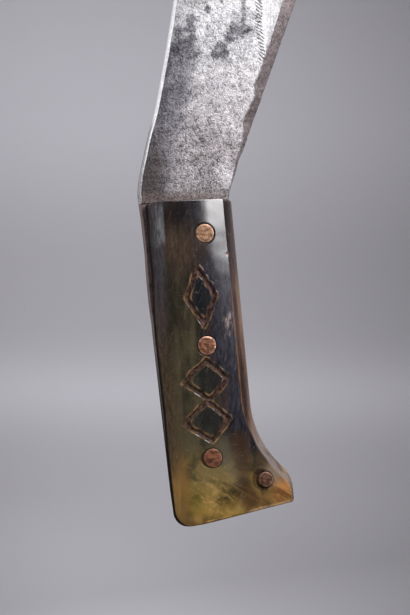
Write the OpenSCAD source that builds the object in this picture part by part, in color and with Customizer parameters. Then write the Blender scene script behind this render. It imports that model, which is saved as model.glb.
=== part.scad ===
// Machete with a full tang, two horn scales and four copper rivets.
// X runs across the grip towards the cutting edge, Z along the grip towards the blade and Y through
// the thickness. The right-hand scale, seen with the edge to the right, lies on the -Y side.
// The origin is where the hand closes: the middle of the grip, on the blade's middle plane.

/* [Blade] */
// Straight distance from the kink in the spine to the point
blade_len = 375; // [300:1:430]
// Lean of that straight line towards the edge side, in degrees
blade_lean = 14.9; // [10:0.1:19]
// Lean of the spine where it leaves the grip, in degrees
spine_root_lean = 21.8; // [14:0.1:26]
// Lean of the spine at the point, in degrees
spine_point_lean = 12.5; // [6:0.5:18]
// Lean of the cutting edge at the heel, in degrees
heel_lean = 24.5; // [18:0.5:30]
// How far the heel stands out beyond the grip
heel_step = 0.7; // [0:0.1:3]
// Height of the heel above the front end of the scales
heel_h = 3.6; // [2:0.1:8]
// Width of the blade at its widest place
belly_w = 67.8; // [54:0.1:78]
// Place of that widest part, as a share of the blade's length
belly_at = 0.59; // [0.52:0.01:0.66]
// Thickness of the blade at the grip
blade_t = 4.8; // [4:0.1:6]
// Thickness of the blade at the point
point_t = 3; // [2.4:0.1:4]
// Height of the kink in the spine above the front end of the scales
kink_h = 4.2; // [2:0.1:10]
// Depth of the chamfer along both corners of the spine
spine_chamfer = 0.5; // [0.2:0.05:0.9]

/* [Grind] */
// Width of the sharpened bevel
bevel_w = 5.2; // [3:0.1:8]
// Length over which the bevel widens, from the heel
bevel_run = 38; // [20:1:60]
// Width that the wide grind behind the bevel tends to
grind_w = 28; // [12:1:34]
// Distance of the start of the wide grind above the heel
grind_start = 54; // [20:1:100]
// How fast the wide grind spreads where it starts
grind_spread = 0.46; // [0.2:0.02:0.8]
// Share of the thickness that the wide grind takes off
grind_depth = 0.62; // [0.3:0.01:0.75]
// Thickness left at the cutting edge
edge_t = 0.5; // [0.3:0.05:0.9]

/* [Grip] */
// Distance from the middle of the hand to the back of the grip
hand_to_back = 18; // [15:0.1:22]
// Distance from the middle of the hand to the front end of the scales
hand_to_front = 64; // [55:0.5:75]
// Distance from the middle of the hand to the back corner of the butt
hand_to_butt = 68.6; // [60:0.1:78]
// Width of the grip at its front end
front_w = 37.3; // [34:0.1:42]
// Width of the grip at its waist
waist_w = 34.4; // [32:0.1:36.5]
// Width of the butt, from the back to the tip of the beak
butt_w = 48.2; // [46.5:0.1:54]
// Rise of the butt towards the beak, in degrees
butt_rise = 7; // [2:0.5:12]
// Height of the flat nose of the beak
nose_h = 10.4; // [9:0.1:14]
// Lean of the underside of the beak, in degrees from the grip's line
beak_lean = 38.4; // [34:0.1:41]
// Radius of the hollow between the waist and the beak
hollow_r = 38.5; // [25:0.5:42]
// Radius of the top corner of the beak
nose_r = 12.2; // [7:0.1:14]
// Radius of the back corner of the butt
butt_r = 6; // [3:0.1:9]
// Radius of the small corners of the scales
corner_r = 1.5; // [0.8:0.1:2.5]
// Drop of the front end of the scales from back to edge side
front_drop = 1.8; // [0:0.1:4]

/* [Scales] */
// Thickness of one scale
scale_t = 9.5; // [7:0.1:13]
// Height of the upright side below the rounding
side_h = 3.2; // [1:0.1:5]
// Width of the rounding over the back, which sets all the others
round_w = 7.6; // [5:0.1:8]
// How far the tang stands out of the scales at the back, at the front end
tang_show = 1.1; // [0.3:0.1:2]
// How far the scales overhang the tang elsewhere
overhang = 0.2; // [0.1:0.05:0.6]
// How far the tang's back swells out between the hand and the kink
tang_swell = 0.7; // [0:0.1:1.2]
// How much thinner than the blade the tang is, on each side
tang_step = 0.1; // [0.05:0.05:0.4]

/* [Rivets] */
// Diameter of the rivets' shanks
shank_d = 5; // [3.5:0.1:6]
// Diameter of the rivets' heads
head_d = 7.8; // [6.5:0.1:9]
// Depth of the countersunk heads
head_depth = 1.7; // [1:0.1:2.5]
// Clearance round the rivets
rivet_gap = 0.05; // [0.02:0.01:0.1]
// How far the heads lie below the scales' faces
head_sink = 0.05; // [0:0.01:0.2]
// Distance of the first rivet from the front end of the scales
first_rivet = 15; // [10:0.5:22]
// Distance between the three rivets in line
rivet_pitch = 45.3; // [35:0.1:50]
// Lean of the line of rivets, in degrees
rivet_lean = 5.1; // [0:0.1:6]
// How far the middle rivet lies out of line, towards the back
rivet_bow = 0.8; // [0:0.1:1.5]
// Distance of the line of rivets from the grip's back, at the middle rivet
rivet_in = 19.1; // [15:0.1:21]
// Distance of the beak's rivet from the nose
beak_rivet_in = 12.3; // [10:0.1:15]
// Distance of the beak's rivet from the butt
beak_rivet_up = 11.5; // [9:0.1:13]

/* [Carving] */
// Width of the carved grooves
groove_w = 1.7; // [1:0.1:2.4]
// Depth of the carved grooves
groove_depth = 1.1; // [0.5:0.1:1.8]
// Width of the upper lozenge, measured as its height is between the middles of the groove
upper_mark_w = 12.2; // [9:0.2:15]
// Height of the upper lozenge
upper_mark_h = 23.2; // [18:0.2:24]
// Distance of the upper lozenge from the grip's back
upper_mark_in = 18.4; // [16:0.1:20]
// How far the upper lozenge lies above the middle rivet
upper_mark_up = 19.9; // [19:0.1:23]
// Width of each lower lozenge
lower_mark_w = 17; // [12:0.2:18]
// Height of each lower lozenge
lower_mark_h = 16.4; // [12:0.2:17]
// Distance of the lower pair of lozenges from the grip's back
lower_mark_in = 16.2; // [15:0.1:18]
// How far the lower pair lies below the middle rivet
lower_mark_down = 22.1; // [21.5:0.1:23]

/* [Hidden] */
steel = "#8f8d8d";
dark_horn = "#2b2724";
olive_horn = "#4a4430";
copper = "#8a5a3c";
curve_fn = 64;
corner_steps = 6;
swell_steps = 8;
round_steps = 5;
blade_steps = 22;
point_steps = 20;
// Chamfer of the blade's end at the grip, which is left sharp
seam = 0.05;
// Overshoot of holes beyond a face
over = 1;
// Least radius that a corner keeps as the rounding draws it in
least_r = 0.8;
// Width of the blunt end of the point
point_w = 1.2;
// Direction from the point back along the belly, in degrees
point_turn = 130;
// Width of the bevel and of the wide grind where they start
start_w = 0.4;
// Most that the bevel, the wide grind and the chamfer take of the blade's width
most_bevel = 0.3;
most_grind = 0.4;
most_chamfer = 0.08;
// Least slant of a section across the edge that widths are corrected for
least_skew = 0.5;
// Pull of each end of the curves of spine, lower edge and upper edge, as a share of their length
spine_pull = [0.16, 0.4];
lower_pull = [0.135, 0.315];
upper_pull = [0.42, 0.39];
// Steepness of the sharpened bevel: fall over width
bevel_fall = 0.5;
// Width of the spine's chamfer on the flats over its depth
chamfer_ratio = 2;
// Each side of a scale: butt, nose, underside of the beak, finger side, front end, back.
// Width of its rounding or chamfer as a share of the rounding over the back
edge_share = [0.1, 0.3, 0.55, 0.63, 0, 1];
// 1 where the side is rounded over, 0 where it is square or has a flat chamfer
edge_round = [1, 0, 0, 0, 0, 1];
// Place of the swell's lower end above the middle of the hand
swell_from = 15;
// Tongue of the tang that reaches into the blade: how far in from both sides, and how high
tongue_in = 4;
tongue_h = 7;
back_x = -hand_to_back;
front_z = hand_to_front;
tang_t = blade_t - 2 * tang_step;
grip_half_t = tang_t / 2 + scale_t;

function lean_dir(a) = [sin(a), cos(a)];
function left_of(d) = [-d.y, d.x];
function cross2(a, b) = a.x * b.y - a.y * b.x;
function unit(v) = v / norm(v);
function mix(a, b, t) = a * (1 - t) + b * t;
function bezier(p, t) =
    pow(1 - t, 3) * p[0] + 3 * pow(1 - t, 2) * t * p[1] + 3 * (1 - t) * t * t * p[2] + pow(t, 3) * p[3];
function slope(p, t) =
    unit(pow(1 - t, 2) * (p[1] - p[0]) + 2 * (1 - t) * t * (p[2] - p[1]) + t * t * (p[3] - p[2]));

// Outline of the grip: corners as [x, z, radius], counter-clockwise from the back of the butt
function grip_corners(back_top) = let (
    nose_x = back_x + butt_w,
    waist_x = back_x + waist_w,
    toe = [nose_x, -hand_to_butt + butt_w * tan(butt_rise)],
    beak = toe + [0, nose_h],
    hollow = [waist_x, beak.y + (nose_x - waist_x) / tan(beak_lean)]
) [
    [back_x, -hand_to_butt, butt_r],
    [toe.x, toe.y, corner_r],
    [beak.x, beak.y, nose_r],
    [hollow.x, hollow.y, hollow_r],
    [back_x + front_w, front_z - front_drop, corner_r],
    [back_x + back_top, front_z, corner_r]
];

// Corner i after its two edges have moved inwards by their own widths w
function drawn_in(c, w, i) = let (
    n = len(c),
    before = [c[(i + n - 1) % n].x, c[(i + n - 1) % n].y],
    here = [c[i].x, c[i].y],
    after = [c[(i + 1) % n].x, c[(i + 1) % n].y],
    u = unit(here - before),
    v = unit(after - here),
    w1 = w[(i + n - 1) % n],
    w2 = w[i],
    p = before + w1 * left_of(u),
    q = here + w2 * left_of(v),
    s = cross2(q - p, v) / cross2(u, v),
    r = cross2(u, v) > 0 ? max(c[i].z - (w1 + w2) / 2, least_r) : c[i].z + (w1 + w2) / 2
) [p.x + s * u.x, p.y + s * u.y, r];

// Arc that rounds the corner between the points before and after it
function corner_arc(before, c, after) = let (
    here = [c.x, c.y],
    u = unit(here - before),
    v = unit(after - here),
    turn = atan2(cross2(u, v), u * v),
    reach = c.z * tan(abs(turn) / 2),
    start = here - reach * u,
    centre = start + sign(turn) * c.z * left_of(u),
    arm = start - centre
) [
    for (k = [0 : corner_steps]) let (a = turn * k / corner_steps)
        centre + [arm.x * cos(a) - arm.y * sin(a), arm.x * sin(a) + arm.y * cos(a)]
];

// Whole outline, with its edges drawn in by their widths w
function outline(corners, w) = let (
    n = len(corners),
    c = [for (i = [0 : n - 1]) drawn_in(corners, w, i)]
) [
    for (i = [0 : n - 1]) let (b = c[(i + n - 1) % n], a = c[(i + 1) % n])
        each corner_arc([b.x, b.y], c[i], [a.x, a.y])
];

// Rings of one point count, skinned with triangles and closed at both ends. Both end faces start at the
// rings' first point, from which all the others can be seen
module skin(rings) {
    n = len(rings[0]);
    last = len(rings) - 1;
    sides = [
        for (i = [0 : last - 1], j = [0 : n - 1]) let (a = i * n + j, b = i * n + (j + 1) % n)
            each [[a, a + n, b + n], [a, b + n, b]]
    ];
    foot = [for (j = [0 : n - 1]) j];
    top = [for (j = [0 : n - 1]) last * n + (n - j) % n];
    polyhedron([for (r = rings) each r], concat(sides, [foot, top]), convexity = 6);
}

// Stands a flat drawing upright: its Y becomes Z, and its height points to -Y
module upright() {
    rotate([90, 0, 0]) children();
}

// Curves of the blade
kink = [back_x, front_z + kink_h];
function tang_back(z) = back_x - tang_swell * sin(180 * (z - swell_from) / (kink.y - swell_from));
root_z = front_z + overhang;
root_back = [tang_back(root_z), root_z];
root_edge = [back_x + front_w - overhang, root_z - front_drop];
heel = [back_x + front_w + heel_step, front_z - front_drop + heel_h];
belly_len = belly_at * blade_len;
point_len = blade_len - belly_len;
point = kink + blade_len * lean_dir(blade_lean);
spine = [
    kink,
    kink + spine_pull[0] * blade_len * lean_dir(spine_root_lean),
    point - spine_pull[1] * blade_len * lean_dir(spine_point_lean),
    point
];

// Share of the spine's curve that lies a length of belly_len from the kink, found by n halvings
function spine_share(low, high, n) = let (
    t = (low + high) / 2,
    near = norm(bezier(spine, t) - kink) < belly_len
)
    n == 0 ? t : spine_share(near ? t : low, near ? high : t, n - 1);
belly_share = spine_share(0, 1, 20);
belly_along = slope(spine, belly_share);
belly = bezier(spine, belly_share) - belly_w * left_of(belly_along);
edge_tip = point - point_w * left_of(lean_dir(spine_point_lean));
lower_edge = [
    heel,
    heel + lower_pull[0] * belly_len * lean_dir(heel_lean),
    belly - lower_pull[1] * belly_len * lean_dir(blade_lean),
    belly
];
upper_edge = [
    belly,
    belly + upper_pull[0] * point_len * lean_dir(blade_lean),
    edge_tip + upper_pull[1] * point_len * lean_dir(point_turn),
    edge_tip
];

// Half thickness of the flats at a place p on the blade
function half_t(p) = mix(blade_t, point_t, max(0, (p - kink) * lean_dir(blade_lean)) / blade_len) / 2;

// Section between the spine at s and the edge at e, where the edge runs along d
function section(s, e, d, chamfer = spine_chamfer) = let (
    w = norm(s - e),
    in = unit(s - e),
    skew = max(least_skew, abs(cross2(d, in))),
    run = e.y - heel.y,
    bevel = min(mix(start_w, bevel_w, min(1, max(0, run) / bevel_run)) / skew, most_bevel * w),
    spread = grind_w * (1 - exp(-grind_spread * max(0, run - grind_start) / grind_w)),
    grind = min((start_w + spread) / skew, most_grind * w),
    c = min(chamfer, most_chamfer * w),
    corner = s - chamfer_ratio * c * in,
    shoulder = e + (bevel + grind) * in,
    land = e + bevel * in,
    t_land = half_t(land) * (1 - grind_depth * grind * skew / (grind_w + start_w)),
    t_edge = min(t_land, max(edge_t / 2, t_land - bevel * skew * bevel_fall)),
    half = [
        [s, half_t(s) - c],
        [corner, half_t(corner)],
        [shoulder, half_t(shoulder)],
        [land, t_land],
        [e, t_edge]
    ]
) concat(
    [for (k = half) [k[0].x, k[0].y, k[1]]],
    [for (i = [4 : -1 : 0]) [half[i][0].x, half[i][0].y, -half[i][1]]]
);

blade_rings = concat(
    [section(root_back, root_edge, lean_dir(heel_lean), seam)],
    [
        for (i = [0 : blade_steps]) let (t = i / blade_steps)
            section(bezier(spine, t * belly_share), bezier(lower_edge, t), slope(lower_edge, t))
    ],
    [
        for (i = [1 : point_steps]) let (t = i / point_steps)
            section(bezier(spine, mix(belly_share, 1, t)), bezier(upper_edge, t), slope(upper_edge, t))
    ]
);

// Tang: the grip's outline drawn in by the overhang, with a tongue that reaches into the blade
function tang_outline() = let (
    o = outline(grip_corners(0), overhang * [1, 1, 1, 1, 0, 0]),
    keep = 4 * (corner_steps + 1)
) concat(
    [for (i = [0 : keep - 1]) o[i]],
    [
        root_edge,
        [root_edge.x - tongue_in, root_edge.y + tongue_h],
        [back_x + tongue_in, root_z + tongue_h]
    ],
    [for (i = [swell_steps : -1 : 0]) let (z = mix(swell_from, root_z, i / swell_steps)) [tang_back(z), z]]
);

// Places of the rivets, as [x, z]
line_middle = [back_x + rivet_in, front_z - first_rivet - rivet_pitch];
rivet_step = rivet_pitch * [tan(rivet_lean), 1];
front_place = line_middle + rivet_step;
middle_place = line_middle - [rivet_bow, 0];
rear_place = line_middle - rivet_step;
toe_corner = grip_corners(0)[1];
beak_place = [toe_corner.x - beak_rivet_in, toe_corner.y + beak_rivet_up - beak_rivet_in * tan(butt_rise)];
places = [front_place, middle_place, rear_place, beak_place];

// Rivet with a countersunk head at each end
module rivet(place) {
    end = grip_half_t - head_sink;
    color(copper)
        upright()
            translate([place.x, place.y, 0])
                rotate_extrude($fn = curve_fn)
                    polygon([
                        [0, -end],
                        [head_d / 2, -end],
                        [shank_d / 2, head_depth - end],
                        [shank_d / 2, end - head_depth],
                        [head_d / 2, end],
                        [0, end]
                    ]);
}

// Holes through one scale, countersunk from its face and open below its seat
module rivet_holes() {
    head_r = head_d / 2 + rivet_gap;
    shank_r = shank_d / 2 + rivet_gap;
    for (p = places)
        translate([p.x, p.y, 0])
            rotate_extrude($fn = curve_fn)
                polygon([
                    [0, 0],
                    [shank_r, 0],
                    [shank_r, grip_half_t - head_sink - head_depth],
                    [head_r, grip_half_t - head_sink],
                    [head_r, grip_half_t + over],
                    [0, grip_half_t + over]
                ]);
}

// Carved lozenges, as [x, z, width, height]
lower_middle = [back_x + lower_mark_in, middle_place.y - lower_mark_down];
lower_step = lower_mark_h / 2 * [tan(rivet_lean), 1];
lozenges = [
    [back_x + upper_mark_in, middle_place.y + upper_mark_up, upper_mark_w, upper_mark_h],
    concat(lower_middle + lower_step, [lower_mark_w, lower_mark_h]),
    concat(lower_middle - lower_step, [lower_mark_w, lower_mark_h])
];

// Prism over a lozenge whose sides lie a distance out from those of m
module lozenge(m, out, h) {
    grow = 2 * out / (m[2] * m[3]) * norm([m[2], m[3]]);
    linear_extrude(height = h)
        polygon([for (k = [[1, 0], [0, 1], [-1, 0], [0, -1]]) (1 + grow) / 2 * [k.x * m[2], k.y * m[3]]]);
}

// Grooves that follow the sides of the lozenges
module carving() {
    for (m = lozenges)
        translate([m.x, m.y, grip_half_t - groove_depth])
            difference() {
                lozenge(m, groove_w / 2, groove_depth + over);
                translate([0, 0, -over]) lozenge(m, -groove_w / 2, groove_depth + 3 * over);
            }
}

module tang_hole() {
    cylinder(d = shank_d + 2 * rivet_gap, h = tang_t + 2 * over, center = true, $fn = curve_fn);
}

module blade() {
    color(steel)
        upright() {
            skin(blade_rings);
            difference() {
                linear_extrude(height = tang_t, center = true) polygon(tang_outline());
                for (p = places) translate([p.x, p.y, 0]) tang_hole();
            }
        }
}

// How far each side of a scale is drawn in at the angle a of its rounding
function widths(a) = [
    for (i = [0 : len(edge_share) - 1]) round_w * edge_share[i] * mix(sin(a), 1 - cos(a), edge_round[i])
];

// One scale before drilling, with its seat on the drawing plane
module slab() {
    corners = grip_corners(tang_show);
    rise = scale_t - side_h;
    angles = [for (k = [0 : round_steps]) 90 * k / round_steps];
    rings = concat([[0, 0]], [for (a = angles) [a, side_h + rise * sin(a)]]);
    skin([for (r = rings) [for (p = outline(corners, widths(r[0]))) [p.x, p.y, r[1]]]]);
}

module drilled_slab(shade, carved) {
    color(shade)
        upright()
            difference() {
                translate([0, 0, tang_t / 2]) slab();
                rivet_holes();
                if (carved) carving();
            }
}

module right_scale() {
    drilled_slab(olive_horn, true);
}

module left_scale() {
    mirror([0, 1, 0]) drilled_slab(dark_horn, false);
}

blade();
right_scale();
left_scale();
rivet(front_place);  // front_rivet
rivet(middle_place);  // middle_rivet
rivet(rear_place);  // rear_rivet
rivet(beak_place);  // beak_rivet
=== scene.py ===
"""Looks of the machete: forged blade and tang, two horn scales and four copper rivets.

Shapes are in millimetres up to the meshes. X runs across the grip towards the edge, Z along it
towards the blade, and the carved scale faces -Y.
"""

from math import cos, pi, radians, sin, tan

import bpy
import numpy as np
from mathutils import Matrix


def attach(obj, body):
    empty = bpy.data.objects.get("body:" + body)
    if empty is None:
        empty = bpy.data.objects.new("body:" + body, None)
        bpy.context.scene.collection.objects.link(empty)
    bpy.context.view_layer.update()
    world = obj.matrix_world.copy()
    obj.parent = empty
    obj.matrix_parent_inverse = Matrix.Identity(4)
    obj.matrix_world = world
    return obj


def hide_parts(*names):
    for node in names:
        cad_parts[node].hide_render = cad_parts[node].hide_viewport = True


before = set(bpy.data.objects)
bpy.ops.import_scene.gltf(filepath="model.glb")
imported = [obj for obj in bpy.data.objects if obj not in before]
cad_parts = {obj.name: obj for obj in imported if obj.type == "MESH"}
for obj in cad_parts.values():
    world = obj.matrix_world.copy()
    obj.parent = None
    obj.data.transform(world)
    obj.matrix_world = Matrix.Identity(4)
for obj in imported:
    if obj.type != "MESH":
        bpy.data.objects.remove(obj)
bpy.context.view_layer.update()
scene = bpy.context.scene

# ---- sizes of the part, in millimetres and degrees, as in the part's source

BACK_X, FRONT_Z, BUTT_Z = -18.0, 64.0, -68.6
FRONT_W, WAIST_W, BUTT_W, FRONT_DROP = 37.3, 34.4, 48.2, 1.8
BUTT_RISE, NOSE_H, BEAK_LEAN = 7.0, 10.4, 38.4
BUTT_R, CORNER_R, NOSE_R, HOLLOW_R, LEAST_R = 6.0, 1.5, 12.2, 38.5, 0.6
TANG_SHOW, OVERHANG, TANG_SWELL, SWELL_FROM = 1.1, 0.2, 0.7, 15.0
SCALE_T, SIDE_H, TANG_HALF, SHANK_R = 9.5, 3.2, 2.3, 2.5
FACE = TANG_HALF + SCALE_T
BLADE_LEN, BLADE_LEAN, BLADE_HALF, POINT_HALF = 375.0, 14.9, 2.4, 1.5
BELLY_LEN, BELLY_W, POINT_W = 0.59 * BLADE_LEN, 67.8, 1.2
KINK_H, HEEL_H, HEEL_STEP = 4.2, 3.6, 0.7
SPINE_ROOT_LEAN, SPINE_POINT_LEAN, HEEL_LEAN, POINT_TURN = 21.8, 12.5, 24.5, 130.0
GRIND_W, GRIND_START, GRIND_SPREAD, GRIND_DEPTH, START_W = 28.0, 54.0, 0.46, 0.62, 0.4
# How far the tang reaches into the blade, and the place of a chip in the front scale's rim
TONGUE_H = 4.0
CHIP = (14.3, 39.6)
# A distance greater than any on the part
FAR = 99.0
# Places of the rivets, as x, z
RIVETS = {
    "front_rivet": (5.143, 49.0),
    "middle_rivet": (0.3, 3.7),
    "rear_rivet": (-2.943, -41.6),
    "beak_rivet": (17.9, -52.692),
}


def lean(angle):
    """Unit vector that leans by an angle from +Z towards +X."""
    return np.array([sin(radians(angle)), cos(radians(angle))])


def left_of(d):
    """Vectors turned a quarter turn to the left."""
    return np.stack([-d[..., 1], d[..., 0]], -1)


def cross(a, b):
    """Cross products of flat vectors."""
    return a[..., 0] * b[..., 1] - a[..., 1] * b[..., 0]


def length(v):
    """Lengths of vectors."""
    return np.linalg.norm(v, axis=-1)


def unit(v):
    """Vectors brought to length 1."""
    return v / length(v)[..., None]


def mix(a, b, t):
    """Straight change from a to b as t goes from 0 to 1."""
    return a * (1 - t) + b * t


def smooth(x, low, high):
    """Eased change from 0 to 1 as x goes from low to high."""
    t = np.clip((x - low) / (high - low), 0, 1)
    return t * t * (3 - 2 * t)


def waves(x, z, size, seed, count=9):
    """Smooth unevenness from -1 to 1: plane waves of about one size in seeded directions."""
    rng = np.random.default_rng(seed)
    turn, phase = rng.uniform(0, 2 * pi, (2, count))
    step = 2 * pi / (size * rng.uniform(0.6, 1.7, count))
    total = sum(np.sin((x * np.cos(a) + z * np.sin(a)) * k + p) for a, p, k in zip(turn, phase, step))
    return total / (0.5 * count)


def line_waves(x, size, seed):
    """The same unevenness along one line."""
    return waves(x, 0 * x, size, seed)


# ---- meshes


def quads(rows, cols, wrap=False):
    """Quads of a grid of points, row by row, closed round the columns if wrap is set."""
    r, c = np.arange(rows - 1)[:, None], np.arange(cols if wrap else cols - 1)[None, :]
    a, b = r * cols + c, r * cols + (c + 1) % cols
    return np.stack([a, b, b + cols, a + cols], -1).reshape(-1, 4)


def band(low, high):
    """Quads between two closed loops of vertex numbers."""
    return np.stack([low, np.roll(low, -1), np.roll(high, -1), high], -1)


def add_object(name, data):
    """Makes one object and links it to the scene."""
    thing = bpy.data.objects.new(name, data)
    scene.collection.objects.link(thing)
    return thing


def add_mesh(name, points, faces, finish):
    """Makes one smooth object from points in metres and a list of faces."""
    mesh = bpy.data.meshes.new(name)
    mesh.from_pydata(points.tolist(), [], [f.tolist() for f in faces])
    mesh.shade_smooth()
    mesh.materials.append(finish)
    return add_object(name, mesh)


def put_piece(name, points, faces, marks, finish, node):
    """Dresses a node with one object, from points in millimetres, faces and named values per point."""
    piece = add_mesh(name, points * 0.001, faces, finish)
    for key, value in marks.items():
        kind, field = ("FLOAT", "value") if value.ndim == 1 else ("FLOAT_VECTOR", "vector")
        layer = piece.data.attributes.new(key, kind, "POINT")
        layer.data.foreach_set(field, value.astype(np.float32).ravel())
    piece.data.validate()
    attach(piece, "root")
    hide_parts(node)


# ---- outline of the grip

# Steps of the arc that rounds a corner
ARC = 16


def grip_corners(back_top):
    """Corners of the grip as x, z, radius: butt's back, toe, nose, hollow, front on both sides."""
    nose_x, waist_x = BACK_X + BUTT_W, BACK_X + WAIST_W
    toe_z = BUTT_Z + BUTT_W * tan(radians(BUTT_RISE))
    hollow_z = toe_z + NOSE_H + (nose_x - waist_x) / tan(radians(BEAK_LEAN))
    return np.array([
        [BACK_X, BUTT_Z, BUTT_R],
        [nose_x, toe_z, CORNER_R],
        [nose_x, toe_z + NOSE_H, NOSE_R],
        [waist_x, hollow_z, HOLLOW_R],
        [BACK_X + FRONT_W, FRONT_Z - FRONT_DROP, CORNER_R],
        [BACK_X + back_top, FRONT_Z, CORNER_R],
    ])


def outline(corners, widths):
    """Closed outline, each side moved inwards by its width and each corner rounded by an arc."""
    before, after = np.roll(corners, 1, 0)[:, :2], np.roll(corners, -1, 0)[:, :2]
    here = corners[:, :2]
    u, v = unit(here - before), unit(after - here)
    w1, w2 = np.roll(widths, 1), widths
    p, q = before + w1[:, None] * left_of(u), here + w2[:, None] * left_of(v)
    place = p + (cross(q - p, v) / cross(u, v))[:, None] * u
    turn = np.arctan2(cross(u, v), (u * v).sum(1))
    less = np.maximum(corners[:, 2] - (w1 + w2) / 2, LEAST_R)
    radius = np.where(turn > 0, less, corners[:, 2] + (w1 + w2) / 2)
    start = place - (radius * np.tan(abs(turn) / 2))[:, None] * u
    centre = start + (np.sign(turn) * radius)[:, None] * left_of(u)
    arm = start - centre
    a = turn[:, None, None] * np.linspace(0, 1, ARC + 1)[:, None]
    arc = centre[:, None] + arm[:, None] * np.cos(a) + left_of(arm)[:, None] * np.sin(a)
    return np.vstack([arc.reshape(-1, 2), arc[0, :1]])


def pick(loop, f):
    """Points of a closed loop at fractions of its point numbers."""
    n = len(loop) - 1
    f = f % n
    i = f.astype(int)
    return mix(loop[i], loop[i + 1], (f - i)[:, None])


def grip_rails(base, rows, cols):
    """Point fractions of a grid's four sides over the grip: butt, right, front and left.

    All are stepped evenly but the left side, whose points stand level with the right side's.
    """
    n = len(base) - 1
    step = ARC + 1
    twice = np.vstack([base[:-1], base])
    far = np.concatenate([[0], np.cumsum(length(np.diff(twice, axis=0)))])
    number = np.arange(len(twice))

    def even(i, j, count):
        low, high = np.interp([i, j], number, far)
        return np.interp(np.linspace(low, high, count), far, number)

    mid = ARC / 2
    butt, right = even(mid, mid + step, cols), even(mid + step, mid + 4 * step, rows)
    front = even(mid + 4 * step, mid + 5 * step, cols)[::-1]
    z = pick(base, right)[:, 1]
    share = (z - z[0]) / (z[-1] - z[0])
    span = np.linspace(mid + 5 * step, mid + 6 * step, 4 * rows)
    height = np.interp(span, number, twice[:, 1])
    wanted = mix(height[-1], height[0], share)
    left = np.interp(wanted, height[::-1], span[::-1])
    return butt, right, front, left % n


def land_grid(loop, rails):
    """Grid of points inside a loop: rows from its left to its right side, bent at both ends."""
    butt, right, front, left = [pick(loop, f) for f in rails]
    u = np.linspace(0, 1, len(butt))[None, :, None]
    grid = mix(left[:, None], right[:, None], u)
    for line, row in ((butt, 0), (front, -1)):
        bend = line[None] - grid[row][None]
        reach = abs(grid[:, :, 1:] - grid[row, :, 1][None, :, None])
        grid = grid + bend * np.exp(-((reach / 5.0) ** 2))
    return grid


def from_line(points, line):
    """Distance of flat points from a closed line."""
    away = FAR
    for start, way in zip(line, np.diff(line, axis=0)):
        rel = points - start
        t = np.clip(rel @ way / max(way @ way, 1e-9), 0, 1)
        away = np.minimum(away, length(rel - t[:, None] * way))
    return away


def rim_numbers(rows, cols):
    """Numbers of a grid's border points, counter-clockwise from the first."""
    n = np.arange(rows * cols).reshape(rows, cols)
    return np.concatenate([n[0], n[1:-1, -1], n[-1, ::-1], n[-2:0:-1, 0]])


def plate(corners, levels, rows, cols, relief=None):
    """Closed plate over the grip's outline, with its seat at height 0.

    levels holds the six sides' widths and the height of each ring, from the seat up to the border of the
    face grid. relief(x, z) raises the face, and fades out down the sides. Returns x, z and height of every
    point, the faces, the seat's loop, each point's share of the relief, and how far inside the face's
    border it lies, which is negative on the sides.
    """
    base = outline(corners, np.zeros(6))
    rails = grip_rails(base, rows, cols)
    rim = rim_numbers(rows, cols)
    n, count, top = len(rim), len(levels) - 1, levels[-1][1]
    flat, face_share = [], []
    for k, (widths, height) in enumerate(levels):
        loop = outline(corners, widths)
        if k < count:
            butt, right, front, left = [pick(loop, f) for f in rails]
            ring = np.vstack([butt, right[1:-1], front[::-1], left[-2:0:-1]])
        else:
            ring = land_grid(loop, rails).reshape(-1, 2)
        share = (height / top) ** 3
        lift = relief(ring[:, 0], ring[:, 1]) * share if relief else 0
        flat.append(np.column_stack([ring, np.full(len(ring), height) + lift]))
        face_share.append(np.full(len(ring), share))
    square = ring.reshape(rows, cols, 2)
    away = [length(square - line) for line in (square[:, :1], square[:, -1:], square[:1], square[-1:])]
    steps = length(np.diff(flat[:-1] + [flat[-1][rim]], axis=0))
    beyond = -np.cumsum(steps[::-1], axis=0)[::-1]
    inset = np.concatenate([beyond.ravel(), np.min(away, axis=0).ravel()])
    rings = [np.arange(n) + k * n for k in range(count)] + [rim + count * n]
    faces = [band(a, b) for a, b in zip(rings, rings[1:])] + [quads(rows, cols) + count * n]
    return np.vstack(flat), np.vstack(faces), rings[0], np.concatenate(face_share), inset


# ---- carving and face of the front scale

# Middle of each lozenge, and its half width and half height
LOZENGES = ((0.4, 23.6, 6.1, 11.6), (-1.07, -10.2, 8.5, 8.2), (-2.53, -26.6, 8.5, 8.2))
LOZENGE_SOFT = 0.55


def lozenge_distance(x, z):
    """Distance from the nearest lozenge's wavering outline, negative inside it."""
    x, z = x + 0.24 * waves(x, z, 7, 3), z + 0.24 * waves(x, z, 7, 4)
    best = FAR
    for cx, cz, a, b in LOZENGES:
        reach = a * b / np.hypot(a, b)
        u, v = (x - cx) / a * reach / LOZENGE_SOFT, (z - cz) / b * reach / LOZENGE_SOFT
        away = LOZENGE_SOFT * (np.logaddexp(u, -u) + np.logaddexp(v, -v)) - reach
        best = np.where(abs(away) < abs(best), away, best)
    return best


def groove_share(x, z):
    """1 along the middle of the carved groove, falling to 0 at its edges."""
    half = 1.05 + 0.15 * waves(x, z, 5, 5)
    return np.clip(1 - (abs(lozenge_distance(x, z)) / half) ** 2, 0, 1)


def burr_share(x, z):
    """1 on the raised lips beside the groove."""
    half = 1.15 + 0.15 * waves(x, z, 5, 5)
    lip = np.exp(-(((abs(lozenge_distance(x, z)) - half) / 0.28) ** 2))
    return lip * smooth(waves(x, z, 5, 8), -0.6, 0.5)


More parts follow.
